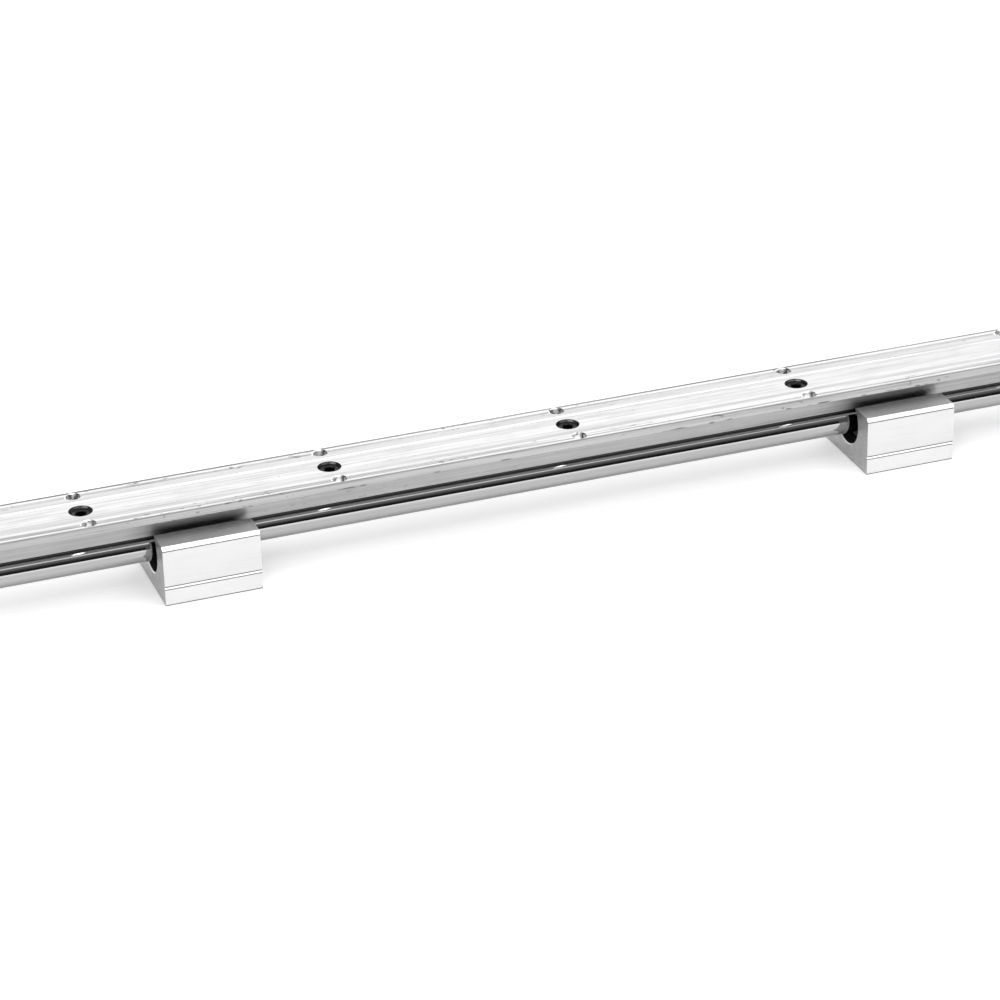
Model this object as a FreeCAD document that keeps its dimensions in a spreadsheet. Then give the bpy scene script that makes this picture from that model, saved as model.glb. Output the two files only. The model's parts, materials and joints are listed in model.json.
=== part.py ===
# Supported round rail with two open carriages, lying on the carriages' table
# faces: the rail's mounting face is up and the round shaft hangs below it.
# Row frame: +X along the rail, +Z up, z = 0 on the floor, millimetres.

import FreeCAD, Part
import os
import math
import Sketcher

Vector = FreeCAD.Vector
Rotation = FreeCAD.Rotation
Placement = FreeCAD.Placement

doc = FreeCAD.newDocument("supported_round_rail")

# ---------------------------------------------------------------------------
# driving dimensions
# ---------------------------------------------------------------------------
DIMS = [
    # rail as a whole
    ("rail_length", 500.0, "stock length"),
    ("hole_pitch", 100.0, "pitch of the hole groups along the rail"),
    ("group_count", 5, "hole groups"),
    ("mount_height", 37.46, "floor to mounting face = block height 17 + rail height 20.46"),
    # support extrusion, depths counted from the mounting face
    ("base_width", 34.0, "width over the flanges"),
    ("edge_bevel_wide", 1.1, "bevel at the outer edge of the mounting face, across"),
    ("edge_bevel_deep", 0.35, "the same, down"),
    ("flange_edge", 3.0, "flange thickness at its outer edge"),
    ("flange_root", 4.5, "flange thickness at the web"),
    ("relief_half", 6.9, "half width of the shallow relief in the middle"),
    ("relief_deep", 0.45, "its depth"),
    ("groove_half", 0.85, "half width of each marking groove"),
    ("groove_deep", 0.55, "its depth"),
    ("root_half", 8.8, "web half width at the flange"),
    ("waist_half", 6.4, "web half width under the root"),
    ("waist_deep", 6.6, "its depth"),
    ("shoulder_half", 5.6, "web half width where its flat side begins"),
    ("shoulder_deep", 8.2, "its depth"),
    ("lip_half", 5.0, "web half width at the lips above the shaft"),
    ("lip_deep", 13.9, "depth of the lips"),
    ("neck_half", 3.4, "half width of the narrow foot on the shaft"),
    ("neck_deep", 14.3, "depth where the foot begins"),
    ("web_deep", 17.4, "depth of the web before the shaft seat is cut"),
    ("root_round", 1.2, "rounding in the corner of flange and web"),
    # holes of the rail
    ("side_spacing", 25.0, "spacing of the mounting holes across the rail"),
    ("side_hole", 5.5, "mounting hole diameter"),
    ("side_sink", 6.2, "its deburred rim"),
    ("bore_wide", 9.5, "counterbore diameter"),
    ("bore_deep", 6.4, "counterbore depth from the mounting face"),
    ("screw_hole", 5.3, "clearance hole of the shaft screws"),
    # shaft
    ("shaft_depth", 20.46, "mounting face to shaft axis"),
    ("shaft_wide", 12.0, "shaft diameter"),
    ("shaft_bevel", 1.0, "bevel on the shaft's ends"),
    ("tapped_wide", 5.0, "screw hole in the shaft, at its thread's outside"),
    ("tapped_deep", 8.6, "its depth"),
    # shaft screws
    ("head_wide", 8.5, "socket head diameter"),
    ("head_tall", 5.0, "socket head height"),
    ("shank_wide", 4.96, "shank diameter"),
    ("shank_long", 16.0, "shank length"),
    ("socket_wide", 4.0, "socket across flats"),
    ("socket_deep", 2.6, "socket depth"),
    # carriages
    ("block_length", 39.0, "housing length along the rail"),
    ("block_width", 40.0, "housing width"),
    ("block_tall", 25.0, "housing height"),
    ("shaft_height", 17.0, "table face to shaft axis"),
    ("foot_bevel", 0.5, "bevel along the table face"),
    ("arm_bevel", 1.3, "bevel along the arms' outer edges"),
    ("line_low", 6.85, "height of the lower fine line's lower edge"),
    ("line_high", 8.4, "height of the upper fine line's upper edge"),
    ("slit_wide", 0.32, "width of the fine lines in the sides"),
    ("slit_deep", 0.3, "their depth"),
    ("mouth_half", 7.5, "half width of the opening between the arms"),
    ("lip_round", 0.4, "rounding of the arms' inner edges"),
    ("seat_wide", 21.0, "housing bore"),
    ("seat_bevel", 0.45, "bevel at the ends of the housing bore"),
    ("table_along", 26.0, "table holes, spacing along the rail"),
    ("table_across", 28.0, "table holes, spacing across the rail"),
    ("table_hole", 5.0, "table holes, at their thread's outside"),
    ("table_deep", 10.0, "their depth"),
    # bearing in each carriage
    ("bearing_long", 30.0, "bearing length"),
    ("shell_wide", 20.96, "bearing shell, outside"),
    ("shell_bore", 16.6, "bearing shell, inside"),
    ("cage_wide", 16.5, "ball cage, outside"),
    ("cage_bore", 12.12, "ball cage, inside"),
    ("seal_thick", 1.6, "end seal"),
    ("open_angle", 84.0, "opening of the bearing, degrees"),
    ("clip_thick", 1.0, "retaining ring thickness"),
    ("clip_bore", 18.2, "retaining ring, inside"),
    ("clip_wide", 21.9, "retaining ring, outside"),
    ("clip_angle", 110.0, "opening of the retaining ring, degrees"),
    ("clip_slot", 1.15, "width of its slot in the housing"),
    ("clip_slot_wide", 22.0, "diameter of its slot in the housing"),
    # where the carriages stand
    ("left_at", -154.5, "left carriage, middle"),
    ("right_at", 142.7, "right carriage, middle"),
]

sheet = doc.addObject("Spreadsheet::Sheet", "Dims")
V = {}
for row, (alias, value, note) in enumerate(DIMS, start=1):
    sheet.set("A%d" % row, alias)
    sheet.set("B%d" % row, "%g" % value)
    sheet.set("C%d" % row, note)
    sheet.setAlias("B%d" % row, alias)
    V[alias] = float(value)
doc.recompute()


def num(terms):
    """Value of a sum of (factor, dimension) terms."""
    return sum(f * V[a] for f, a in terms)


def text(terms):
    """The same sum as an expression on the spreadsheet."""
    return " + ".join("%.8g * Dims.%s" % (f, a) for f, a in terms) or "0"


def t(*terms):
    return list(terms)


def flip(terms):
    return [(-f, a) for f, a in terms]


def plane(body, role):
    for feature in body.Origin.OriginFeatures:
        if feature.Role == role:
            return feature
    raise RuntimeError("no " + role)


def new_sketch(body, role, name, offset=None):
    sk = body.newObject("Sketcher::SketchObject", name)
    sk.AttachmentSupport = [(plane(body, role), "")]
    sk.MapMode = "FlatFace"
    if offset:
        sk.AttachmentOffset = Placement(Vector(0, 0, num(offset)), Rotation())
        sk.setExpression("AttachmentOffset.Base.z", text(offset))
    return sk


def pin_point(sk, geo, pos, x, y, tag):
    """Holds a point at (x, y), each a list of terms, by expressions."""
    if x:
        sk.addConstraint(Sketcher.Constraint("DistanceX", -1, 1, geo, pos, num(x)))
        sk.renameConstraint(sk.ConstraintCount - 1, tag + "_along")
        sk.setExpression("Constraints." + tag + "_along", text(x))
    else:
        sk.addConstraint(Sketcher.Constraint("PointOnObject", geo, pos, -2))
    if y:
        sk.addConstraint(Sketcher.Constraint("DistanceY", -1, 1, geo, pos, num(y)))
        sk.renameConstraint(sk.ConstraintCount - 1, tag + "_up")
        sk.setExpression("Constraints." + tag + "_up", text(y))
    else:
        sk.addConstraint(Sketcher.Constraint("PointOnObject", geo, pos, -1))


def polygon(sk, points):
    """Closed outline through points given as (x terms, y terms)."""
    n = len(points)
    xy = [Vector(num(x), num(y), 0) for x, y in points]
    for i in range(n):
        sk.addGeometry(Part.LineSegment(xy[i], xy[(i + 1) % n]), False)
    for i in range(n):
        sk.addConstraint(Sketcher.Constraint("Coincident", i, 2, (i + 1) % n, 1))
    for i, (x, y) in enumerate(points):
        pin_point(sk, i, 1, x, y, "p%d" % i)


def circle(sk, x, y, wide, tag):
    geo = sk.addGeometry(Part.Circle(Vector(num(x), num(y), 0), Vector(0, 0, 1),
                                     V[wide] / 2.0), False)
    pin_point(sk, geo, 3, x, y, tag)
    sk.addConstraint(Sketcher.Constraint("Diameter", geo, V[wide]))
    sk.renameConstraint(sk.ConstraintCount - 1, tag + "_wide")
    sk.setExpression("Constraints." + tag + "_wide", "Dims." + wide)


def pad(body, sk, name, length):
    f = body.newObject("PartDesign::Pad", name)
    f.Profile = sk
    f.Length = num(length)
    f.setExpression("Length", text(length))
    return f


def pocket(body, sk, name, depth, reverse=False):
    f = body.newObject("PartDesign::Pocket", name)
    f.Profile = sk
    f.Length = num(depth)
    f.setExpression("Length", text(depth))
    f.Reversed = reverse
    return f


def turn(body, sk, name, axis, kind="PartDesign::Revolution"):
    f = body.newObject(kind, name)
    f.Profile = sk
    f.ReferenceAxis = (sk, [axis])
    f.Angle = 360.0
    return f


def repeat(body, name, originals):
    f = body.newObject("PartDesign::LinearPattern", name)
    f.Originals = originals
    f.Direction = (plane(body, "X_Axis"), [""])
    f.Length = V["hole_pitch"] * (V["group_count"] - 1)
    f.Occurrences = int(V["group_count"])
    f.setExpression("Length", "Dims.hole_pitch * (Dims.group_count - 1)")
    f.setExpression("Occurrences", "Dims.group_count")
    body.Tip = f
    return f


def edge_names(feature, test):
    return ["Edge%d" % (i + 1) for i, e in enumerate(feature.Shape.Edges) if test(e)]


def place(obj, x=None, z=None):
    p = Placement(Vector(num(x) if x else 0, 0, num(z) if z else 0),
                  obj.Placement.Rotation)
    obj.Placement = p
    if x:
        obj.setExpression("Placement.Base.x", text(x))
    if z:
        obj.setExpression("Placement.Base.z", text(z))


first_group = t((-0.5, "rail_length"), (0.5, "rail_length"))
parts = []

# ---------------------------------------------------------------------------
# support rail: aluminium extrusion, mounting face at local z = 0
# ---------------------------------------------------------------------------
rail = doc.addObject("PartDesign::Body", "support_rail")
rail.Label = "support_rail"
sec = new_sketch(rail, "YZ_Plane", "rail_section", t((-0.5, "rail_length")))

half = [
    # from the middle of the mounting face out and down to the web's end
    (t((1, "relief_half")), t((-1, "relief_deep"))),
    (t((1, "relief_half"), (1, "relief_deep")), t()),
    (t((0.5, "side_spacing"), (-1, "groove_half")), t()),
    (t((0.5, "side_spacing")), t((-1, "groove_deep"))),
    (t((0.5, "side_spacing"), (1, "groove_half")), t()),
    (t((0.5, "base_width"), (-1, "edge_bevel_wide")), t()),
    (t((0.5, "base_width")), t((-1, "edge_bevel_deep"))),
    (t((0.5, "base_width")), t((-1, "flange_edge"), (0.6, "edge_bevel_deep"))),
    (t((0.5, "base_width"), (-0.6, "edge_bevel_deep")), t((-1, "flange_edge"))),
    (t((1, "root_half")), t((-1, "flange_root"))),
    (t((1, "waist_half")), t((-1, "waist_deep"))),
    (t((1, "shoulder_half")), t((-1, "shoulder_deep"))),
    (t((1, "lip_half")), t((-1, "lip_deep"))),
    (t((1, "neck_half")), t((-1, "neck_deep"))),
    (t((1, "neck_half")), t((-1, "web_deep"))),
]
polygon(sec, half + [(flip(x), y) for x, y in reversed(half)])
rail_pad = pad(rail, sec, "rail_extrusion", t((1, "rail_length")))
doc.recompute()

# seat of the shaft
seat = new_sketch(rail, "YZ_Plane", "seat_circle", t((0.5, "rail_length")))
circle(seat, t(), t((-1, "shaft_depth")), "shaft_wide", "s")
seat_cut = pocket(rail, seat, "shaft_seat", t((1, "rail_length")))
doc.recompute()

# rounded corners between flange and web
root = rail.newObject("PartDesign::Fillet", "root_rounding")
root.Base = (seat_cut, edge_names(seat_cut, lambda e: e.Length > 400 and
             abs(abs(e.BoundBox.YMin) - V["root_half"]) < 0.01 and
             abs(e.BoundBox.ZMin + V["flange_root"]) < 0.01))
root.Radius = V["root_round"]
root.setExpression("Radius", "Dims.root_round")
doc.recompute()

group_x = t((-2, "hole_pitch"))
c_sk = new_sketch(rail, "XY_Plane", "shaft_screw_place")
circle(c_sk, group_x, t(), "screw_hole", "c")
c_hole = rail.newObject("PartDesign::Hole", "shaft_screw_hole")
c_hole.Profile = c_sk
c_hole.Threaded = False
c_hole.DepthType = "ThroughAll"
c_hole.Diameter = V["screw_hole"]
c_hole.HoleCutType = "Counterbore"
c_hole.HoleCutDiameter = V["bore_wide"]
c_hole.HoleCutDepth = V["bore_deep"]
c_hole.setExpression("Diameter", "Dims.screw_hole")
c_hole.setExpression("HoleCutDiameter", "Dims.bore_wide")
c_hole.setExpression("HoleCutDepth", "Dims.bore_deep")
doc.recompute()

s_sk = new_sketch(rail, "XY_Plane", "side_hole_place")
circle(s_sk, group_x, t((0.5, "side_spacing")), "side_hole", "a")
circle(s_sk, group_x, t((-0.5, "side_spacing")), "side_hole", "b")
s_hole = rail.newObject("PartDesign::Hole", "side_hole")
s_hole.Profile = s_sk
s_hole.Threaded = False
s_hole.DepthType = "ThroughAll"
s_hole.Diameter = V["side_hole"]
s_hole.HoleCutType = "Countersink"
s_hole.HoleCutDiameter = V["side_sink"]
s_hole.HoleCutCountersinkAngle = 90.0
s_hole.setExpression("Diameter", "Dims.side_hole")
s_hole.setExpression("HoleCutDiameter", "Dims.side_sink")
doc.recompute()
repeat(rail, "hole_groups", [c_hole, s_hole])
place(rail, z=t((1, "mount_height")))
doc.recompute()
parts.append(rail)

# ---------------------------------------------------------------------------
# shaft, axis on local X
# ---------------------------------------------------------------------------
shaft = doc.addObject("PartDesign::Body", "guide_shaft")
shaft.Label = "guide_shaft"
sh_sk = new_sketch(shaft, "XZ_Plane", "shaft_outline")
polygon(sh_sk, [
    (t((-0.5, "rail_length")), t()),
    (t((0.5, "rail_length")), t()),
    (t((0.5, "rail_length")), t((0.5, "shaft_wide"), (-1, "shaft_bevel"))),
    (t((0.5, "rail_length"), (-1, "shaft_bevel")), t((0.5, "shaft_wide"))),
    (t((-0.5, "rail_length"), (1, "shaft_bevel")), t((0.5, "shaft_wide"))),
    (t((-0.5, "rail_length")), t((0.5, "shaft_wide"), (-1, "shaft_bevel"))),
])
turn(shaft, sh_sk, "shaft_turned", "H_Axis")
doc.recompute()
tap_sk = new_sketch(shaft, "XY_Plane", "tapped_place", t((0.5, "shaft_wide")))
circle(tap_sk, group_x, t(), "tapped_wide", "h")
tap = pocket(shaft, tap_sk, "tapped_hole", t((1, "tapped_deep")))
doc.recompute()
repeat(shaft, "tapped_holes", [tap])
place(shaft, z=t((1, "mount_height"), (-1, "shaft_depth")))
doc.recompute()
parts.append(shaft)

# ---------------------------------------------------------------------------
# socket head screws that hold the shaft, head top at local z = 0
# ---------------------------------------------------------------------------
for k in range(int(V["group_count"])):
    screw = doc.addObject("PartDesign::Body", "shaft_screw_%d" % (k + 1))
    screw.Label = "shaft_screw_%d" % (k + 1)
    o_sk = new_sketch(screw, "XZ_Plane", "screw_outline_%d" % (k + 1))
    polygon(o_sk, [
        (t(), t()),
        (t((0.45, "head_wide")), t()),
        (t((0.5, "head_wide")), t((-0.08, "head_tall"))),
        (t((0.5, "head_wide")), t((-1, "head_tall"))),
        (t((0.5, "shank_wide")), t((-1, "head_tall"))),
        (t((0.5, "shank_wide")), t((-1, "head_tall"), (-0.95, "shank_long"))),
        (t((0.36, "shank_wide")), t((-1, "head_tall"), (-1, "shank_long"))),
        (t(), t((-1, "head_tall"), (-1, "shank_long"))),
    ])
    turn(screw, o_sk, "screw_turned_%d" % (k + 1), "V_Axis")
    doc.recompute()
    h_sk = new_sketch(screw, "XY_Plane", "socket_%d" % (k + 1))
    polygon(h_sk, [(t((math.cos(math.radians(60 * i + 10)) / math.sqrt(3), "socket_wide")),
                    t((math.sin(math.radians(60 * i + 10)) / math.sqrt(3), "socket_wide")))
                   for i in range(6)])
    pocket(screw, h_sk, "socket_cut_%d" % (k + 1), t((1, "socket_deep")))
    doc.recompute()
    place(screw, x=t((k - 2, "hole_pitch")) if k != 2 else None,
          z=t((1, "mount_height"), (-1, "bore_deep"), (1, "head_tall")))
    parts.append(screw)
doc.recompute()

# ---------------------------------------------------------------------------
# carriages
# ---------------------------------------------------------------------------
# housing outline, local z = 0 on the bore axis
foot = (-1, "shaft_height")
side = [
    (t((0.5, "block_width"), (-1, "foot_bevel")), t(foot)),
    (t((0.5, "block_width")), t(foot, (1, "foot_bevel"))),
    # two fine lines low in the side
    (t((0.5, "block_width")), t(foot, (1, "line_low"))),
    (t((0.5, "block_width"), (-1, "slit_deep")), t(foot, (1, "line_low"), (0.5, "slit_wide"))),
    (t((0.5, "block_width")), t(foot, (1, "line_low"), (1, "slit_wide"))),
    (t((0.5, "block_width")), t(foot, (1, "line_high"), (-1, "slit_wide"))),
    (t((0.5, "block_width"), (-1, "slit_deep")), t(foot, (1, "line_high"), (-0.5, "slit_wide"))),
    (t((0.5, "block_width")), t(foot, (1, "line_high"))),
    # fine line under the arm's bevel
    (t((0.5, "block_width")), t(foot, (1, "block_tall"), (-1, "arm_bevel"), (-1.6, "slit_wide"))),
    (t((0.5, "block_width"), (-1, "slit_deep")), t(foot, (1, "block_tall"), (-1, "arm_bevel"), (-1.0, "slit_wide"))),
    (t((0.5, "block_width")), t(foot, (1, "block_tall"), (-1, "arm_bevel"), (-0.4, "slit_wide"))),
    (t((0.5, "block_width")), t(foot, (1, "block_tall"), (-1, "arm_bevel"))),
    (t((0.5, "block_width"), (-1, "arm_bevel")), t(foot, (1, "block_tall"))),
    (t((1, "mouth_half")), t(foot, (1, "block_tall"))),
    (t((1, "mouth_half")), t((0.25, "seat_wide"))),
]


def long_edge_at(y, z):
    return lambda e: (e.Length > 30 and abs(abs(e.BoundBox.YMin) - y) < 0.02 and
                      abs(abs(e.BoundBox.YMax) - y) < 0.02 and
                      abs(e.BoundBox.ZMin - z) < 0.02 and abs(e.BoundBox.ZMax - z) < 0.02)


def seat_rim(e):
    c = e.Curve
    return (hasattr(c, "Radius") and abs(c.Radius - V["seat_wide"] / 2) < 0.01 and
            abs(abs(e.BoundBox.XMin) - V["block_length"] / 2) < 0.01 and
            e.BoundBox.XLength < 0.01)


def housing(label, at):
    body = doc.addObject("PartDesign::Body", label)
    body.Label = label
    sk = new_sketch(body, "YZ_Plane", label + "_section", t((-0.5, "block_length")))
    polygon(sk, side + [(flip(x), y) for x, y in reversed(side)])
    pad(body, sk, label + "_extrusion", t((1, "block_length")))
    doc.recompute()
    bsk = new_sketch(body, "YZ_Plane", label + "_bore", t((0.5, "block_length")))
    circle(bsk, t(), t(), "seat_wide", "b")
    bore = pocket(body, bsk, label + "_bored", t((1, "block_length")))
    doc.recompute()
    lip = body.newObject("PartDesign::Fillet", label + "_lips")
    lip.Base = (bore, edge_names(bore, long_edge_at(V["mouth_half"],
                                                    V["block_tall"] - V["shaft_height"])))
    lip.Radius = V["lip_round"]
    lip.setExpression("Radius", "Dims.lip_round")
    doc.recompute()
    rim = body.newObject("PartDesign::Chamfer", label + "_rim")
    rim.Base = (lip, edge_names(lip, seat_rim))
    rim.Size = V["seat_bevel"]
    rim.setExpression("Size", "Dims.seat_bevel")
    doc.recompute()
    # slots of the two retaining rings, turned about the bore axis
    for tag, sign in (("near", -1.0), ("far", 1.0)):
        gsk = new_sketch(body, "XZ_Plane", label + "_slot_" + tag)
        a = t((sign * 0.5, "bearing_long"))
        b = t((sign * 0.5, "bearing_long"), (sign, "clip_slot"))
        lo, hi = t((0.45, "seat_wide")), t((0.5, "clip_slot_wide"))
        polygon(gsk, [(a, lo), (b, lo), (b, hi), (a, hi)])
        turn(body, gsk, label + "_slot_cut_" + tag, "H_Axis", "PartDesign::Groove")
        doc.recompute()
    hsk = new_sketch(body, "XY_Plane", label + "_table_holes", t(foot))
    n = 0
    for sx in (-0.5, 0.5):
        for sy in (-0.5, 0.5):
            circle(hsk, t((sx, "table_along")), t((sy, "table_across")), "table_hole", "h%d" % n)
            n += 1
    pocket(body, hsk, label + "_table_holes_cut", t((1, "table_deep")), reverse=True)
    doc.recompute()
    place(body, x=t((1, at)), z=t((1, "shaft_height")))
    doc.recompute()
    return body


def open_ring(label, at, outer, inner, length, shift, opening):
    """Ring about the shaft axis, open towards the rail's web."""
    angle = 360.0 - V[opening]
    along_x = Rotation(Vector(0, 1, 0), 90) * Rotation(Vector(0, 0, 1), V[opening] / 2 - 180.0)
    o = doc.addObject("Part::Cylinder", label + "_outside")
    o.Radius = V[outer] / 2
    o.Height = num(length)
    o.Angle = angle
    o.setExpression("Radius", "Dims.%s / 2" % outer)
    o.setExpression("Height", text(length))
    o.setExpression("Angle", "360 - Dims." + opening)
    o.Placement = Placement(Vector(num(shift), 0, 0), along_x)
    o.setExpression("Placement.Base.x", text(shift))
    i = doc.addObject("Part::Cylinder", label + "_inside")
    i.Radius = V[inner] / 2
    i.Height = num(length) + 2
    i.setExpression("Radius", "Dims.%s / 2" % inner)
    i.setExpression("Height", text(length) + " + 2")
    i.Placement = Placement(Vector(num(shift) - 1, 0, 0), along_x)
    i.setExpression("Placement.Base.x", text(shift) + " - 1")
    c = doc.addObject("Part::Cut", label)
    c.Label = label
    c.Base = o
    c.Tool = i
    place(c, x=t((1, at)), z=t((1, "shaft_height")))
    return c


for side_name in ("left", "right"):
    at = side_name + "_at"
    base = "block_" + side_name
    parts.append(housing(base + "_housing", at))
    b = "bearing_long"
    parts.append(open_ring(base + "_bearing_shell", at, "shell_wide", "shell_bore",
                           t((1, b)), t((-0.5, b)), "open_angle"))
    parts.append(open_ring(base + "_ball_cage", at, "cage_wide", "cage_bore",
                           t((1, b), (-2.2, "seal_thick")),
                           t((-0.5, b), (1.1, "seal_thick")), "open_angle"))
    parts.append(open_ring(base + "_seal_near", at, "cage_wide", "cage_bore",
                           t((1, "seal_thick")), t((-0.5, b)), "open_angle"))
    parts.append(open_ring(base + "_seal_far", at, "cage_wide", "cage_bore",
                           t((1, "seal_thick")), t((0.5, b), (-1, "seal_thick")), "open_angle"))
    parts.append(open_ring(base + "_retaining_ring_near", at, "clip_wide", "clip_bore",
                           t((1, "clip_thick")),
                           t((-0.5, b), (-0.5, "clip_thick"), (-0.5, "clip_slot")), "clip_angle"))
    parts.append(open_ring(base + "_retaining_ring_far", at, "clip_wide", "clip_bore",
                           t((1, "clip_thick")),
                           t((0.5, b), (-0.5, "clip_thick"), (0.5, "clip_slot")), "clip_angle"))
    doc.recompute()

doc.recompute()

# ---------------------------------------------------------------------------
# checks and export
# ---------------------------------------------------------------------------
for obj in doc.Objects:
    if "Invalid" in obj.State or "Error" in obj.State:
        raise RuntimeError("%s is %s" % (obj.Name, obj.State))
for obj in parts:
    if obj.Shape.isNull() or not obj.Shape.isValid() or len(obj.Shape.Solids) < 1:
        raise RuntimeError("bad shape: " + obj.Label)

os.makedirs("parts", exist_ok=True)
for obj in parts:
    obj.Shape.exportStep("parts/" + obj.Label + ".step")
    bb = obj.Shape.BoundBox
    print("%-34s solids %d vol %9.1f  x %.2f..%.2f y %.2f..%.2f z %.2f..%.2f" % (
        obj.Label, len(obj.Shape.Solids), obj.Shape.Volume,
        bb.XMin, bb.XMax, bb.YMin, bb.YMax, bb.ZMin, bb.ZMax))
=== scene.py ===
# Supported round rail with two open carriages: finish, light and camera.
import bmesh
import bpy
import json
import math
from mathutils import Matrix, Vector
from mathutils.geometry import tessellate_polygon


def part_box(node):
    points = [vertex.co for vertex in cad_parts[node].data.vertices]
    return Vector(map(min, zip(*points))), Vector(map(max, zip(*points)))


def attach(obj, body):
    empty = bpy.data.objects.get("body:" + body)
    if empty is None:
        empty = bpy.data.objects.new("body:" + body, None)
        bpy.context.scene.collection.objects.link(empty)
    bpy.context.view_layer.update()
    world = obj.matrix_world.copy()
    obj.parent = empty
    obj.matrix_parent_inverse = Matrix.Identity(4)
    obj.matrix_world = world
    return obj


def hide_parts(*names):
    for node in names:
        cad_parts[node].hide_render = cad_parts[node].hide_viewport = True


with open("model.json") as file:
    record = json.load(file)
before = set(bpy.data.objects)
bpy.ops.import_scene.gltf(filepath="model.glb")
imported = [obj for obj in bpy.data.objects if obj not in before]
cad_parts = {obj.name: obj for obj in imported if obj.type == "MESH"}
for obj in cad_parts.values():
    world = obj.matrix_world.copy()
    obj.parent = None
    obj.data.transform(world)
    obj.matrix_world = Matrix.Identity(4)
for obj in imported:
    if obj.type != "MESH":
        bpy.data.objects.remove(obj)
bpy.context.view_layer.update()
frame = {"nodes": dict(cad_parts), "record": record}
nodes = frame["nodes"]
scene = bpy.context.scene

# ---------------------------------------------------------------------------
# camera
# ---------------------------------------------------------------------------
F_PX = 3550.67
YAW, PITCH, ROLL = math.radians(19.594), math.radians(26.429), math.radians(1.413)
EYE = Vector((-256.80 - 200.0, -1200.42, 604.72 + 37.46)) * 0.001

forward = Vector((math.sin(YAW) * math.cos(PITCH), math.cos(YAW) * math.cos(PITCH), -math.sin(PITCH)))
right = Vector((math.cos(YAW), -math.sin(YAW), 0.0))
down = forward.cross(right)
r2 = right * math.cos(ROLL) + down * math.sin(ROLL)
d2 = -right * math.sin(ROLL) + down * math.cos(ROLL)
cam_data = bpy.data.cameras.new("camera")
cam_data.sensor_width = 36.0
cam_data.lens = 36.0 * F_PX / 1000.0
cam_data.clip_start = 0.05
cam_data.clip_end = 50.0
cam = bpy.data.objects.new("camera", cam_data)
scene.collection.objects.link(cam)
basis = Matrix((r2, -d2, -forward)).transposed().to_4x4()
basis.translation = EYE
cam.matrix_world = basis
scene.camera = cam
scene.view_settings.view_transform = "Standard"
scene.view_settings.look = "None"


# ---------------------------------------------------------------------------
# node helpers
# ---------------------------------------------------------------------------
class Net:
    """Short ways to add and join shader nodes."""

    def __init__(self, name):
        self.mat = bpy.data.materials.new(name)
        self.mat.use_nodes = True
        self.t = self.mat.node_tree
        self.bsdf = self.t.nodes["Principled BSDF"]
        tc = self.t.nodes.new("ShaderNodeTexCoord")
        self.obj = tc.outputs["Object"]
        self.normal = tc.outputs["Normal"]

    def add(self, kind, **props):
        n = self.t.nodes.new(kind)
        for k, v in props.items():
            setattr(n, k, v)
        return n

    def link(self, a, b):
        self.t.links.new(a, b)

    def scaled(self, scale, offset=(0, 0, 0)):
        m = self.add("ShaderNodeMapping")
        m.inputs["Scale"].default_value = scale
        m.inputs["Location"].default_value = offset
        self.link(self.obj, m.inputs["Vector"])
        return m.outputs["Vector"]

    def noise(self, vec, scale=1.0, detail=4.0, rough=0.55, distort=0.0):
        n = self.add("ShaderNodeTexNoise")
        n.inputs["Scale"].default_value = scale
        n.inputs["Detail"].default_value = detail
        n.inputs["Roughness"].default_value = rough
        n.inputs["Distortion"].default_value = distort
        self.link(vec, n.inputs["Vector"])
        return n.outputs["Fac"]

    def ramp(self, fac, stops, mode="LINEAR"):
        r = self.add("ShaderNodeValToRGB")
        e = r.color_ramp
        e.interpolation = mode
        while len(e.elements) > 1:
            e.elements.remove(e.elements[-1])
        for i, (p, c) in enumerate(stops):
            el = e.elements[0] if i == 0 else e.elements.new(p)
            el.position = p
            el.color = (c, c, c, 1) if isinstance(c, (int, float)) else (*c, 1)
        self.link(fac, r.inputs["Fac"])
        return r.outputs["Color"]

    def step(self, v, a, b, top=1.0):
        """0 below a, top above b, straight between: exact, unlike a colour ramp."""
        m = self.add("ShaderNodeMapRange", clamp=True)
        m.inputs["From Min"].default_value = a
        m.inputs["From Max"].default_value = b
        m.inputs["To Min"].default_value = 0.0
        m.inputs["To Max"].default_value = top
        self.link(v, m.inputs["Value"])
        return m.outputs["Result"]

    def band(self, v, a, b, soft, top=1.0):
        """top between a and b, 0 outside."""
        return self.math("SUBTRACT", self.step(v, a - soft, a + soft, top),
                         self.step(v, b - soft, b + soft, top))

    def math(self, op, a, b=None, c=None, clamp=False):
        m = self.add("ShaderNodeMath", operation=op, use_clamp=clamp)
        for i, v in enumerate((a, b, c)):
            if v is None:
                continue
            if isinstance(v, (int, float)):
                m.inputs[i].default_value = v
            else:
                self.link(v, m.inputs[i])
        return m.outputs[0]

    def mix(self, fac, a, b, mode="MIX"):
        m = self.add("ShaderNodeMix", data_type="RGBA", blend_type=mode)
        for name, v in ((0, fac), (6, a), (7, b)):
            if isinstance(v, (int, float)):
                m.inputs[name].default_value = v if name == 0 else (v, v, v, 1)
            elif isinstance(v, tuple):
                m.inputs[name].default_value = (*v, 1)
            else:
                self.link(v, m.inputs[name])
        return m.outputs[2]

    def xyz(self, vec):
        s = self.add("ShaderNodeSeparateXYZ")
        self.link(vec, s.inputs[0])
        return s.outputs

    def bump(self, height, strength, distance, under=None):
        b = self.add("ShaderNodeBump")
        b.inputs["Strength"].default_value = strength
        b.inputs["Distance"].default_value = distance
        self.link(height, b.inputs["Height"])
        if under is not None:
            self.link(under, b.inputs["Normal"])
        return b.outputs["Normal"]

    def set(self, name, value):
        s = self.bsdf.inputs[name]
        if isinstance(value, (int, float)):
            s.default_value = value
        elif isinstance(value, tuple):
            s.default_value = (*value, 1)
        else:
            self.link(value, s)


# ---------------------------------------------------------------------------
# finishes
# ---------------------------------------------------------------------------
TOP = 0.03746          # mounting face


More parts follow.
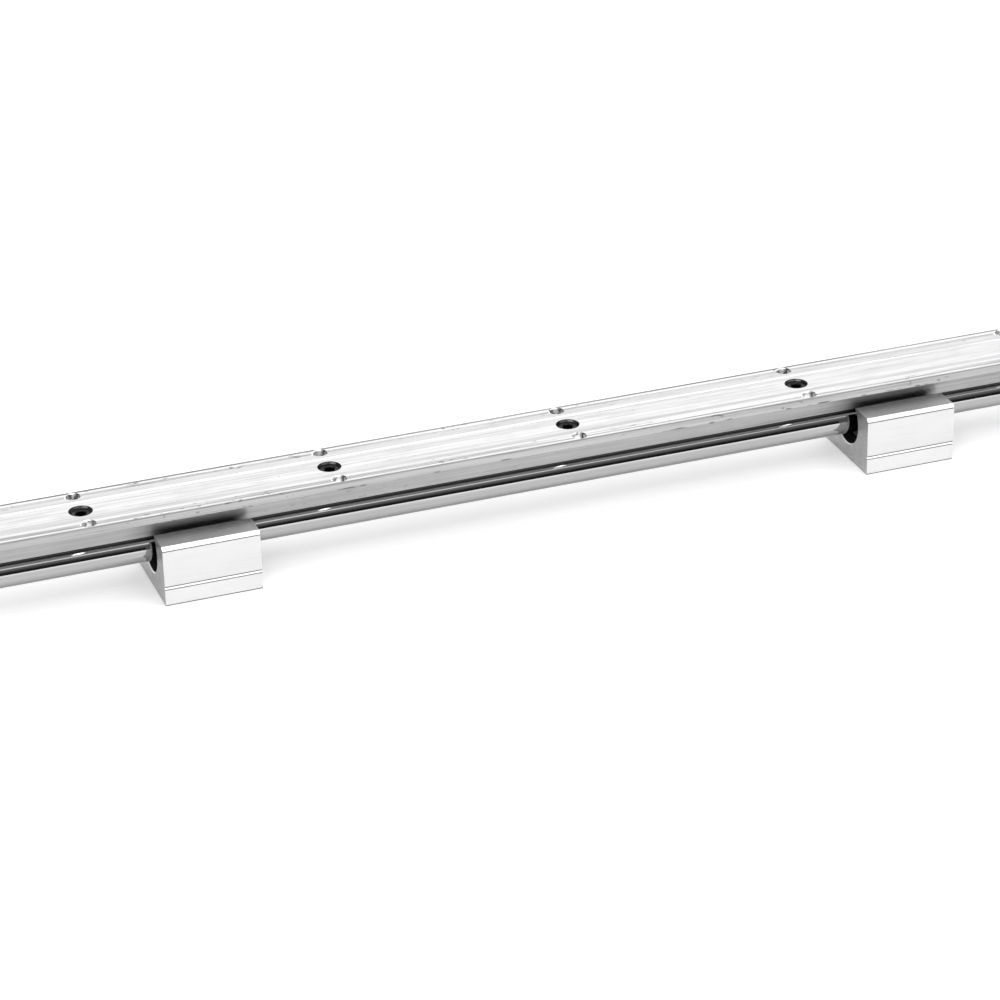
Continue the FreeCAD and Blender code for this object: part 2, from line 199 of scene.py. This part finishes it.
def extruded():
    """Plain aluminium extrusion: drawn lines along X, mottled oxide, a few
    dark specks, skimmed mounting face, sawn ends, painted shade above the shaft."""
    n = Net("extruded_aluminium")
    x, y, z = n.xyz(n.obj)
    nx, ny, nz = n.xyz(n.normal)
    up = n.ramp(nz, [(0.55, 0.0), (0.8, 1.0)])
    end = n.ramp(n.math("ABSOLUTE", nx), [(0.8, 0.0), (0.95, 1.0)])
    wide = n.math("ABSOLUTE", y)

    hair = n.noise(n.scaled((26, 2300, 2300)), 1.0, 2.0, 0.5)
    line = n.noise(n.scaled((11, 850, 850), (3.1, 0, 7.7)), 1.0, 3.0, 0.55)
    band = n.noise(n.scaled((2.2, 330, 330), (1.7, 5.0, 2.0)), 1.0, 2.0, 0.5)
    mottle = n.noise(n.scaled((75, 260, 260), (0.4, 2.0, 1.0)), 1.0, 4.0, 0.62)
    streak = n.math("ADD", n.math("MULTIPLY", hair, 0.30),
                    n.math("ADD", n.math("MULTIPLY", line, 0.38), n.math("MULTIPLY", band, 0.32)))
    bright = n.ramp(streak, [(0.34, 0.40), (0.42, 0.62), (0.50, 0.73), (0.58, 0.80), (0.68, 0.84)])
    dull = n.ramp(streak, [(0.34, 0.34), (0.45, 0.44), (0.55, 0.49), (0.68, 0.56)])
    # the strips beside the relief are worn a little greyer
    bright = n.mix(n.band(wide, 0.0070, 0.0118, 0.0002, 0.13), bright, 0.0)
    # the strip outside the front groove is drawn darker, in fine lines; a painted
    # highlight line runs just inside each bevel
    bright = n.mix(n.band(y, -0.0144, -0.0131, 0.0002), bright,
                   n.ramp(hair, [(0.42, 0.28), (0.50, 0.46), (0.60, 0.58)]))
    bright = n.mix(n.band(y, -0.0153, -0.0146, 0.0001), bright, 0.80)
    bright = n.mix(n.band(y, 0.0137, 0.0149, 0.0002), bright, 0.84)
    bright = n.mix(n.step(wide, 0.0158, 0.0160), bright, n.ramp(hair, [(0.42, 0.30), (0.60, 0.46)]))
    # painted highlight: a bright line along the front of the mounting face, 10.7 mm from the middle
    front_highlight = n.band(n.math("ADD", y, 0.0107), -0.0006, 0.0006, 0.0004, 0.7)
    bright = n.mix(front_highlight, bright, 0.86)
    # painted shade: the sides are darkened, the web and the flange's underside more than the flange's edge
    dull = n.mix(n.math("SUBTRACT", 0.25, n.step(z, 0.0330, 0.0350, 0.14)), dull, 0.0)
    col = n.mix(up, dull, bright)
    # drilled holes: bright mottled wall; painted shade darkens the wall on the +X side of each hole
    gx = n.math("SUBTRACT", x, n.math("MULTIPLY", n.math("ROUND", n.math("MULTIPLY", x, 10.0)), 0.1))
    gy = n.math("SUBTRACT", wide, 0.0125)
    far = n.math("SQRT", n.math("ADD", n.math("MULTIPLY", gx, gx), n.math("MULTIPLY", gy, gy)))
    # painted shade on the faces of the rail that look down
    below = n.ramp(n.math("MULTIPLY", nz, -1.0), [(0.0, 0.0), (0.35, 0.0), (0.7, 0.55)])
    col = n.mix(below, col, 0.12)
    hole = n.math("SUBTRACT", 1.0, n.step(far, 0.00312, 0.00318))
    burr = n.noise(n.scaled((420, 420, 420), (0, 0, 9.0)), 1.0, 2.0, 0.5)
    shade = n.step(gx, 0.0009, 0.0022)
    wall = n.mix(shade, n.ramp(burr, [(0.36, 0.18), (0.42, 0.70), (0.52, 0.92)]), n.ramp(burr, [(0.40, 0.02), (0.6, 0.07)]))
    col = n.mix(hole, col, wall)
    # painted shade: thin dark lines in the two marking grooves and along the flange's upper edges
    groove = n.math("MULTIPLY", n.band(wide, 0.01168, 0.01332, 0.00003), n.step(z, TOP - 0.0008, TOP - 0.0006))
    brim = n.math("ADD", n.band(y, -0.0166, -0.0156, 0.0002, 0.7), n.step(y, 0.0148, 0.0150))
    brim = n.math("MULTIPLY", brim, up)
    lines = n.math("MULTIPLY", brim,
                   n.ramp(line, [(0.36, 1.0), (0.62, 0.72)]))
    col = n.mix(n.math("MULTIPLY", lines, n.math("SUBTRACT", 1.0, hole)), col, 0.17)
    col = n.mix(n.math("MULTIPLY", groove, n.math("SUBTRACT", 1.0, hole)), col,
                n.ramp(line, [(0.36, 0.23), (0.64, 0.42)]))
    col = n.mix(n.ramp(mottle, [(0.46, 0.0), (0.72, 0.30)]), col, 0.44)
    # sawn end faces: lines left by the blade
    saw = n.noise(n.scaled((10, 60, 4200), (0, 3.0, 0)), 1.0, 3.0, 0.6)
    col = n.mix(end, col, n.ramp(saw, [(0.35, 0.46), (0.6, 0.66)]))
    # specks, more of them near the edges of the mounting face
    near_edge = n.math("SUBTRACT", 1.0, n.step(n.math("ABSOLUTE", n.math("SUBTRACT", wide, 0.0148)), 0.0, 0.005))
    dots = n.noise(n.scaled((260, 760, 760), (8.0, 0, 0)), 1.0, 1.0, 0.5)
    where = n.noise(n.scaled((38, 90, 90), (0, 4.0, 0)), 1.0, 2.0, 0.5)
    speck = n.math("MULTIPLY", n.ramp(dots, [(0.66, 0.0), (0.71, 1.0)]),
                   n.ramp(where, [(0.50, 0.0), (0.60, 1.0)]))
    speck = n.math("MULTIPLY", speck, n.math("ADD", n.math("MULTIPLY", near_edge, 0.75), 0.2))
    # broken dark line low on the flange's side
    rim = n.math("MULTIPLY", n.band(z, TOP - 0.00265, TOP - 0.00225, 0.0001), n.step(wide, 0.0168, 0.0169))
    dash = n.noise(n.scaled((95, 420, 420), (5.0, 0, 1.0)), 1.0, 2.0, 0.6)
    run = n.noise(n.scaled((9, 9, 9), (12.3, 0, 0)), 1.0, 1.0, 0.5)
    dirt = n.math("MULTIPLY", rim, n.math("MULTIPLY", n.ramp(dash, [(0.58, 0.0), (0.63, 1.0)]),
                                          n.ramp(run, [(0.53, 0.0), (0.60, 1.0)])))
    marks = n.math("MAXIMUM", speck, dirt)
    col = n.mix(marks, col, 0.07)
    # painted shade in the narrow gap between web and shaft
    gap = n.math("SUBTRACT", 1.0, n.step(z, 0.02350, 0.02356))
    col = n.mix(n.math("MULTIPLY", gap, n.math("SUBTRACT", 1.0, end)), col, 0.04)
    # painted shade on the walls of the counterbores, with two painted highlight patches on the far wall
    cb = n.math("SQRT", n.math("ADD", n.math("MULTIPLY", gx, gx), n.math("MULTIPLY", y, y)))
    bored = n.math("MULTIPLY", n.math("SUBTRACT", 1.0, n.step(cb, 0.00480, 0.00482)), n.band(z, 0.0302, TOP - 0.00052, 0.0001))
    def facing(ax, ay, low, high, top):
        d = n.math("DIVIDE", n.math("ADD", n.math("MULTIPLY", gx, ax), n.math("MULTIPLY", y, ay)), cb)
        return n.step(d, low, high, top)
    painted_glints = n.math("MAXIMUM", facing(0.553, 0.833, 0.945, 1.0, 1.0), facing(-0.04, 0.999, 0.91, 1.0, 0.45))
    painted_glints = n.math("MULTIPLY", painted_glints, n.band(z, 0.0360, 0.0367, 0.0002))
    col = n.mix(bored, col, n.mix(painted_glints, n.ramp(burr, [(0.40, 0.03), (0.62, 0.09)]), 0.80))
    n.set("Base Color", col)
    n.set("Metallic", n.math("SUBTRACT", 0.92, n.math("MAXIMUM", n.math("MULTIPLY", marks, 0.6),
                                                      n.math("MULTIPLY", bored, 0.85))))
    n.set("Roughness", n.math("ADD", n.ramp(streak, [(0.34, 0.50), (0.66, 0.36)]),
                              n.math("MULTIPLY", marks, 0.3)))
    h = n.math("ADD", n.math("MULTIPLY", hair, 0.6), n.math("MULTIPLY", line, 1.0))
    h = n.math("ADD", h, n.math("MULTIPLY", n.math("MULTIPLY", end, saw), 1.4))
    n.set("Normal", n.bump(h, 0.40, 0.00006))
    return n.mat


def anodised():
    """Clear satin anodising over a fine extrusion skin; the ends are milled."""
    n = Net("anodised_aluminium")
    x, y, z = n.xyz(n.obj)
    nx, ny, nz = n.xyz(n.normal)
    end = n.ramp(n.math("ABSOLUTE", nx), [(0.55, 0.0), (0.9, 1.0)])
    skin = n.noise(n.scaled((40, 1500, 1500)), 1.0, 3.0, 0.5)
    cloud = n.noise(n.scaled((55, 55, 55)), 1.0, 4.0, 0.5)
    grain = n.noise(n.scaled((3600, 3600, 3600)), 1.0, 2.0, 0.5)
    mill = n.noise(n.scaled((40, 260, 2600), (0, 1.0, 0)), 1.0, 3.0, 0.55)
    col = n.ramp(n.math("ADD", n.math("MULTIPLY", skin, 0.5), n.math("MULTIPLY", cloud, 0.5)),
                 [(0.35, 0.645), (0.65, 0.685)])
    col = n.mix(n.ramp(n.math("MULTIPLY", z, 10.0), [(0.0, 0.45), (0.068, 0.35), (0.085, 0.0), (0.236, 0.0),
                                                    (0.240, 0.6)]), col, 0.80)
    up = n.ramp(nz, [(0.8, 0.0), (0.97, 0.8)])
    col = n.mix(up, col, 0.97)
    col = n.mix(end, col, n.ramp(mill, [(0.32, 0.31), (0.66, 0.47)]))
    # painted shade: dark fine lines in the grooves of the sides, under the top bevel and along the foot's bevel
    wide = n.math("ABSOLUTE", y)
    out = n.step(wide, 0.01935, 0.01942)
    fine = n.math("ADD", n.band(z, 0.00681, 0.00720, 0.00003, 0.75), n.band(z, 0.00804, 0.00843, 0.00003, 0.8))
    fine = n.math("ADD", fine, n.math("ADD", n.band(z, 0.02314, 0.02361, 0.00003, 0.75),
                                      n.math("SUBTRACT", 0.95, n.step(z, 0.00050, 0.00060, 0.95))))
    # painted highlight: the strip between the two side lines is lightened
    strip = n.math("MULTIPLY", out, n.band(z, 0.00722, 0.00802, 0.00003, 0.9))
    col = n.mix(strip, col, 0.97)
    col = n.mix(n.math("MULTIPLY", n.math("MULTIPLY", out, fine), n.math("SUBTRACT", 1.0, end)), col, 0.12)
    # painted shade on the bore's wall
    zc = n.math("SUBTRACT", z, 0.017)
    far = n.math("SQRT", n.math("ADD", n.math("MULTIPLY", y, y), n.math("MULTIPLY", zc, zc)))
    bore = n.math("SUBTRACT", 1.0, n.step(far, 0.01053, 0.01058))
    col = n.mix(n.math("MULTIPLY", bore, n.math("SUBTRACT", 1.0, end)), col, 0.07)
    n.set("Base Color", col)
    n.set("Metallic", 0.85)
    n.set("Roughness", n.ramp(n.math("ADD", n.math("MULTIPLY", skin, 0.6), n.math("MULTIPLY", grain, 0.4)),
                              [(0.3, 0.46), (0.7, 0.36)]))
    h = n.math("ADD", n.math("MULTIPLY", skin, 0.7), n.math("MULTIPLY", grain, 0.5))
    h = n.math("ADD", h, n.math("MULTIPLY", n.math("MULTIPLY", end, mill), 1.2))
    n.set("Normal", n.bump(h, 0.09, 0.00004))
    return n.mat


def ground_steel(name, base, rough, end_shade=0.0):
    """Centreless ground surface: very fine rings around X, faint drawn marks."""
    n = Net(name)
    rings = n.noise(n.scaled((5200, 60, 60)), 1.0, 2.0, 0.5)
    cloud = n.noise(n.scaled((14, 110, 110)), 1.0, 4.0, 0.6)
    drawn = n.noise(n.scaled((6, 700, 700), (2.0, 0, 0)), 1.0, 3.0, 0.6)
    col = n.mix(n.ramp(cloud, [(0.3, 0.0), (0.7, 1.0)]), tuple(c * 0.90 for c in base), base)
    col = n.mix(n.ramp(drawn, [(0.58, 0.0), (0.72, 0.35)]), col, tuple(c * 0.62 for c in base))
    nz = n.xyz(n.normal)[2]
    # painted shade and painted dark reflection: darker from just below the side down to the bottom, set by the
    # normal's z
    under = n.ramp(n.math("MULTIPLY", n.math("SUBTRACT", 1.0, nz), 0.5),
                   [(0.0, 0.0), (0.40, 0.0), (0.44, 0.30), (0.50, 0.27), (0.56, 0.16), (0.69, 0.17),
                    (0.76, 0.30), (0.80, 0.50), (1.0, 0.50)])
    col = n.mix(under, col, tuple(c * 0.05 for c in base))
    # painted shade on the faces that look along the rail, deep in the bore on the bearing shell's ends
    ends = n.step(n.math("ABSOLUTE", n.xyz(n.normal)[0]), 0.3, 0.6, end_shade)
    col = n.mix(ends, col, 0.008)
    n.set("Base Color", col)
    n.set("Metallic", n.math("SUBTRACT", 1.0, ends))
    n.set("Specular IOR Level", n.math("SUBTRACT", 0.5, n.math("MULTIPLY", ends, 0.4)))
    n.set("Roughness", n.ramp(n.math("ADD", n.math("MULTIPLY", rings, 0.6), n.math("MULTIPLY", drawn, 0.4)),
                              [(0.3, rough * 0.8), (0.7, rough * 1.3)]))
    n.set("Normal", n.bump(rings, 0.06, 0.00001))
    return n.mat


def black_oxide():
    n = Net("black_oxide")
    g = n.noise(n.scaled((900, 900, 900)), 1.0, 3.0, 0.6)
    wear = n.noise(n.scaled((420, 420, 420), (3, 0, 0)), 1.0, 4.0, 0.6)
    col = n.ramp(g, [(0.3, (0.004, 0.004, 0.0044)), (0.7, (0.014, 0.014, 0.015))])
    col = n.mix(n.ramp(wear, [(0.58, 0.0), (0.72, 0.5)]), col, 0.12)
    # painted shade in the bores: the retaining rings are made darker and duller than the screws
    y, z = n.xyz(n.obj)[1:]
    zc = n.math("SUBTRACT", z, 0.017)
    far = n.math("SQRT", n.math("ADD", n.math("MULTIPLY", y, y), n.math("MULTIPLY", zc, zc)))
    ring = n.math("MULTIPLY", n.step(far, 0.0082, 0.0083), n.math("SUBTRACT", 1.0, n.step(z, 0.0245, 0.0246)))
    col = n.mix(ring, col, 0.003)
    n.set("Base Color", col)
    n.set("Metallic", n.math("SUBTRACT", 0.85, n.math("MULTIPLY", ring, 0.85)))
    n.set("Specular IOR Level", n.math("SUBTRACT", 0.5, n.math("MULTIPLY", ring, 0.42)))
    n.set("Roughness", n.ramp(g, [(0.3, 0.28), (0.7, 0.45)]))
    n.set("Normal", n.bump(g, 0.2, 0.00003))
    return n.mat


def plain_black(name, rough, scale):
    n = Net(name)
    g = n.noise(n.scaled((scale, scale, scale)), 1.0, 3.0, 0.6)
    n.set("Base Color", n.ramp(g, [(0.3, (0.012, 0.012, 0.012)), (0.7, (0.03, 0.03, 0.03))]))
    n.set("Roughness", n.ramp(g, [(0.3, rough - 0.08), (0.7, rough + 0.08)]))
    n.set("Normal", n.bump(g, 0.15, 0.00005))
    return n.mat


MATS = {
    "extruded_aluminium": extruded(),
    "anodised_aluminium": anodised(),
    "hardened_steel": ground_steel("hardened_steel", (0.50, 0.50, 0.505), 0.075),
    "bearing_steel": ground_steel("bearing_steel", (0.20, 0.20, 0.205), 0.3, 0.96),
    "black_oxide": black_oxide(),
    "black_resin": plain_black("black_resin", 0.45, 700),
    "seal_rubber": plain_black("seal_rubber", 0.7, 1500),
}
for sub in frame["record"]["subparts"]:
    o = nodes[sub["node"]]
    m = MATS[sub["material_slot"]]
    if o.data.materials:
        for i in range(len(o.data.materials)):
            o.data.materials[i] = m
    else:
        o.data.materials.append(m)

# ---------------------------------------------------------------------------
# finer pieces in place of the plain CAD ones
# ---------------------------------------------------------------------------
def piece(name, bm, material, body, stands_for=(), sharp=35.0):
    bmesh.ops.remove_doubles(bm, verts=bm.verts, dist=1e-7)
    bmesh.ops.recalc_face_normals(bm, faces=bm.faces)
    me = bpy.data.meshes.new(name)
    bm.to_mesh(me)
    bm.free()
    for poly in me.polygons:
        poly.use_smooth = True
    me.set_sharp_from_angle(angle=math.radians(sharp))
    me.materials.append(material)
    ob = bpy.data.objects.new(name, me)
    scene.collection.objects.link(ob)
    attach(ob, body)
    if stands_for:
        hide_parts(*stands_for)
    return ob


def lathe_loops(bm, loops, close=True):
    """Skins a list of loops of points (each the same length)."""
    rings = [[bm.verts.new(p) for p in loop] for loop in loops]
    n = len(rings[0])
    for a, b in zip(rings, rings[1:]):
        for i in range(n if close else n - 1):
            j = (i + 1) % n
            bm.faces.new((a[i], a[j], b[j], b[i]))
    return rings


def fan(bm, ring, centre):
    c = bm.verts.new(centre)
    n = len(ring)
    for i in range(n):
        bm.faces.new((ring[i], ring[(i + 1) % n], c))


MM = 0.001
SEG = 180


def cap_screw(name, at_x, top, node):
    """Socket head screw with a knurled head, a rounded edge and a hexagon socket."""
    def plain(radius):
        return lambda a: radius

    def knurl(radius):
        return lambda a: radius - 0.16 * (0.5 - 0.5 * math.cos(45 * a)) ** 0.7

    def hexagon(across):
        def f(a):
            b = (math.degrees(a) - 10.0) % 60.0 - 30.0
            return across / 2 / math.cos(math.radians(b))
        return f

    def thread(radius, k):
        return lambda a: radius - (0.30 if k else 0.0)

    prof = [(plain(1.78), -21.0), (plain(2.42), -20.3)]
    z = -20.0
    while z < -6.0:
        prof += [(thread(2.48, 0), z), (thread(2.48, 1), z + 0.4)]
        z += 0.8
    prof += [(plain(2.48), -5.4), (plain(2.48), -5.0), (plain(4.08), -5.0), (knurl(4.25), -4.82),
             (knurl(4.25), -0.75), (plain(4.12), -0.55), (plain(4.06), -0.30), (plain(3.90), -0.11),
             (plain(3.66), -0.02), (plain(3.45), 0.0), (plain(2.62), 0.0), (plain(2.45), -0.10),
             (hexagon(4.0), -0.32), (hexagon(4.0), -2.45)]
    bm = bmesh.new()
    loops = []
    for f, h in prof:
        loop = []
        for i in range(SEG):
            a = 2 * math.pi * i / SEG
            rr = f(a) * MM
            loop.append((at_x + rr * math.cos(a), rr * math.sin(a), top + h * MM))
        loops.append(loop)
    rings = lathe_loops(bm, loops)
    fan(bm, rings[0], (at_x, 0, top - 21.0 * MM))
    fan(bm, rings[-1], (at_x, 0, top - 2.95 * MM))
    return piece(name, bm, MATS["black_oxide"], "rail", (node,), 28.0)


for k in range(1, 6):
    lo_s, hi_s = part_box("shaft_screw_%d" % k)
    cap_screw("cap_screw_%d" % k, (lo_s[0] + hi_s[0]) / 2, hi_s[2], "shaft_screw_%d" % k)


def open_sweep(bm, outline, x0, a0, a1, n):
    """Closed (x, r) outline in mm turned about the shaft's axis from a0 to a1 degrees, ends capped."""
    loops = []
    for i in range(n + 1):
        a = math.radians(a0 + (a1 - a0) * i / n)
        loops.append([(x0 + x * MM, r * MM * math.cos(a), AXIS + r * MM * math.sin(a)) for x, r in outline])
    rings = [[bm.verts.new(p) for p in loop] for loop in loops]
    m = len(outline)
    for p, q in zip(rings, rings[1:]):
        for i in range(m):
            j = (i + 1) % m
            bm.faces.new((p[i], p[j], q[j], q[i]))
    bm.faces.new(rings[0])
    bm.faces.new(list(reversed(rings[-1])))


AXIS = 0.017
OPEN = 42.0


def seal_outline(length, inward):
    """End seal: thick outer rim, thin web, lip with a bead that wipes the shaft."""
    s = 1.0 if inward > 0 else -1.0
    pts = [(0.0, 8.22), (0.0, 7.35), (0.42, 7.15), (0.42, 6.62), (0.12, 6.40), (0.05, 6.20), (0.20, 6.07),
           (0.45, 6.08), (0.72, 6.30), (0.90, 6.62), (0.95, 7.10), (length, 7.25), (length, 8.22)]
    return [(s * x, r) for x, r in pts]


def shell_outline(half_long):
    pts = [(-half_long, 8.62), (-half_long, 10.05), (-half_long + 0.12, 10.30), (-half_long + 0.38, 10.47),
           (half_long - 0.38, 10.47), (half_long - 0.12, 10.30), (half_long, 10.05), (half_long, 8.62),
           (half_long - 0.25, 8.32), (-half_long + 0.25, 8.32)]
    return pts


def circlip(bm, x0, x1):
    """Internal retaining ring: slimmer towards its ends, each end an eyelet with a hole."""
    a0, a1 = 90.0 + 55.4, 450.0 - 55.4
    n = 150
    outer, inner = [], []
    for i in range(n + 1):
        a = a0 + (a1 - a0) * i / n
        edge = min(a - a0, a1 - a)
        body = 9.18 + 0.55 * abs((a - 270.0) / (0.5 * (a1 - a0))) ** 1.5
        if edge < 15.0:
            w = 0.5 + 0.5 * math.cos(math.pi * min(1.0, max(0.0, (edge - 9.0) / 6.0)))
            body = body * (1 - w) + 8.45 * w
        outer.append((a, 10.94))
        inner.append((a, body))

    def xy(a, r):
        return (r * MM * math.cos(math.radians(a)), r * MM * math.sin(math.radians(a)))

    ring = [xy(a, r) for a, r in outer] + [xy(a, r) for a, r in reversed(inner)]
    holes = []
    for a in (a0 + 5.6, a1 - 5.6):
        cy, cz = xy(a, 9.65)
        holes.append([(cy + 0.66 * MM * math.cos(-2 * math.pi * k / 24),
                       cz + 0.66 * MM * math.sin(-2 * math.pi * k / 24)) for k in range(24)])
    contours = [ring] + holes
    flat = [p for c in contours for p in c]
    tris = tessellate_polygon([[Vector((p[0], p[1], 0)) for p in c] for c in contours])
    va = [bm.verts.new((x0, p[0], AXIS + p[1])) for p in flat]
    vb = [bm.verts.new((x1, p[0], AXIS + p[1])) for p in flat]
    for t3 in tris:
        bm.faces.new([va[i] for i in t3])
        bm.faces.new([vb[i] for i in reversed(t3)])
    start = 0
    for c in contours:
        m = len(c)
        for i in range(m):
            j = (i + 1) % m
            bm.faces.new((va[start + i], va[start + j], vb[start + j], vb[start + i]))
        start += m


def tapped_thread(bm, cx, cy, z0, depth, radius, pitch):
    """Thread inside a tapped hole: a helical ridge that stands in from the wall."""
    steps = 32
    turns = (depth - 1.2) / pitch
    rows = []
    total = int(turns * steps)
    for i in range(total + 1):
        a = 2 * math.pi * i / steps
        h = 0.5 + pitch * i / steps
        fade = min(1.0, i / 20.0, (total - i) / 20.0)
        inner = radius - 0.42 * fade - 0.01
        ca, sa = math.cos(a), math.sin(a)
        rows.append([bm.verts.new((cx + rr * MM * ca, cy + rr * MM * sa, z0 + (h + dz) * MM))
                     for rr, dz in ((radius - 0.01, -0.34), (inner, -0.05), (inner, 0.05), (radius - 0.01, 0.34))])
    for p, q in zip(rows, rows[1:]):
        for i in range(4):
            j = (i + 1) % 4
            bm.faces.new((p[i], p[j], q[j], q[i]))
    bm.faces.new(rows[0])
    bm.faces.new(list(reversed(rows[-1])))


for block in ("block_left", "block_right"):
    lo_b, hi_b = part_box(block + "_housing")
    mid = (lo_b[0] + hi_b[0]) / 2
    bm = bmesh.new()
    open_sweep(bm, shell_outline(15.0), mid, 90.0 + OPEN, 450.0 - OPEN, 140)
    piece(block + "_shell_rounded", bm, MATS["bearing_steel"], block,
          (block + "_bearing_shell",))
    for tag, sign in (("near", -1.0), ("far", 1.0)):
        bm = bmesh.new()
        open_sweep(bm, seal_outline(1.55, -sign), mid + sign * 14.99 * MM, 90.0 + OPEN, 450.0 - OPEN, 140)
        piece(block + "_lip_seal_" + tag, bm, MATS["seal_rubber"], block,
              (block + "_seal_" + tag,))
        lo_r, hi_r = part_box(block + "_retaining_ring_" + tag)
        bm = bmesh.new()
        circlip(bm, lo_r[0], hi_r[0])
        piece(block + "_circlip_" + tag, bm, MATS["black_oxide"], block,
              (block + "_retaining_ring_" + tag,), 30.0)
    bm = bmesh.new()
    for sx in (-13.0, 13.0):
        for sy in (-14.0, 14.0):
            tapped_thread(bm, mid + sx * MM, sy * MM, 0.0, 10.0, 2.5, 0.8)
    piece(block + "_table_threads", bm, MATS["anodised_aluminium"], block)

# ---------------------------------------------------------------------------
# floor and light
# ---------------------------------------------------------------------------
mesh = bpy.data.meshes.new("floor")
S = 6.0
mesh.from_pydata([(-S, -S, 0), (S, -S, 0), (S, S, 0), (-S, S, 0)], [], [(0, 1, 2, 3)])
floor = bpy.data.objects.new("floor", mesh)
scene.collection.objects.link(floor)
fm = Net("floor_paint")
g = fm.noise(fm.scaled((3, 3, 3)), 1.0, 2.0, 0.5)
fm.set("Base Color", fm.ramp(g, [(0.3, (0.93, 0.93, 0.93)), (0.7, (0.95, 0.95, 0.95))]))
fm.set("Roughness", 0.9)
fm.set("Emission Color", fm.ramp(g, [(0.3, (0.97, 0.97, 0.97)), (0.7, (1.0, 1.0, 1.0))]))
fm.set("Emission Strength", 0.25)
mesh.materials.append(fm.mat)


def area(name, at, look, size, power):
    d = bpy.data.lights.new(name, "AREA")
    d.shape = "RECTANGLE"
    d.size, d.size_y = size
    d.energy = power
    o = bpy.data.objects.new(name, d)
    o.location = at
    o.rotation_mode = "QUATERNION"
    o.rotation_quaternion = (Vector(at) - Vector(look)).to_track_quat("Z", "Y")
    scene.collection.objects.link(o)
    return o


area("softbox_top", (0.1, -0.45, 1.35), (0, 0, 0.02), (1.6, 0.7), 12.0)

world = bpy.data.worlds.new("studio")
scene.world = world
world.use_nodes = True
wt = world.node_tree
bg = wt.nodes["Background"]
tc = wt.nodes.new("ShaderNodeTexCoord")
sep = wt.nodes.new("ShaderNodeSeparateXYZ")
wt.links.new(tc.outputs["Generated"], sep.inputs[0])


def wramp(socket, stops):
    r = wt.nodes.new("ShaderNodeValToRGB")
    e = r.color_ramp
    while len(e.elements) > 1:
        e.elements.remove(e.elements[-1])
    for i, (p, c) in enumerate(stops):
        el = e.elements[0] if i == 0 else e.elements.new(p)
        el.position = p
        el.color = (c, c, c, 1)
    wt.links.new(socket, r.inputs["Fac"])
    return r.outputs["Color"]


# Unlit room low on the camera's side, growing lighter to the edge of a large
# overhead diffuser; bright backdrop behind the object.
front = wramp(sep.outputs["Z"], [(0.0, 0.010), (0.24, 0.015), (0.375, 0.075), (0.50, 0.17),
                                 (0.61, 0.22), (0.645, 0.25), (0.653, 1.0), (1.0, 1.0)])
back = wramp(sep.outputs["Z"], [(0.0, 1.0), (1.0, 1.0)])
neg = wt.nodes.new("ShaderNodeMath"); neg.operation = "MULTIPLY"; neg.inputs[1].default_value = -1.0
wt.links.new(sep.outputs["Y"], neg.inputs[0])
side = wramp(neg.outputs[0], [(0.0, 0.0), (0.30, 1.0)])
mixw = wt.nodes.new("ShaderNodeMix"); mixw.data_type = "RGBA"
wt.links.new(side, mixw.inputs[0])
wt.links.new(back, mixw.inputs[6])
wt.links.new(front, mixw.inputs[7])
wt.links.new(mixw.outputs[2], bg.inputs["Color"])
bg.inputs["Strength"].default_value = 1.25
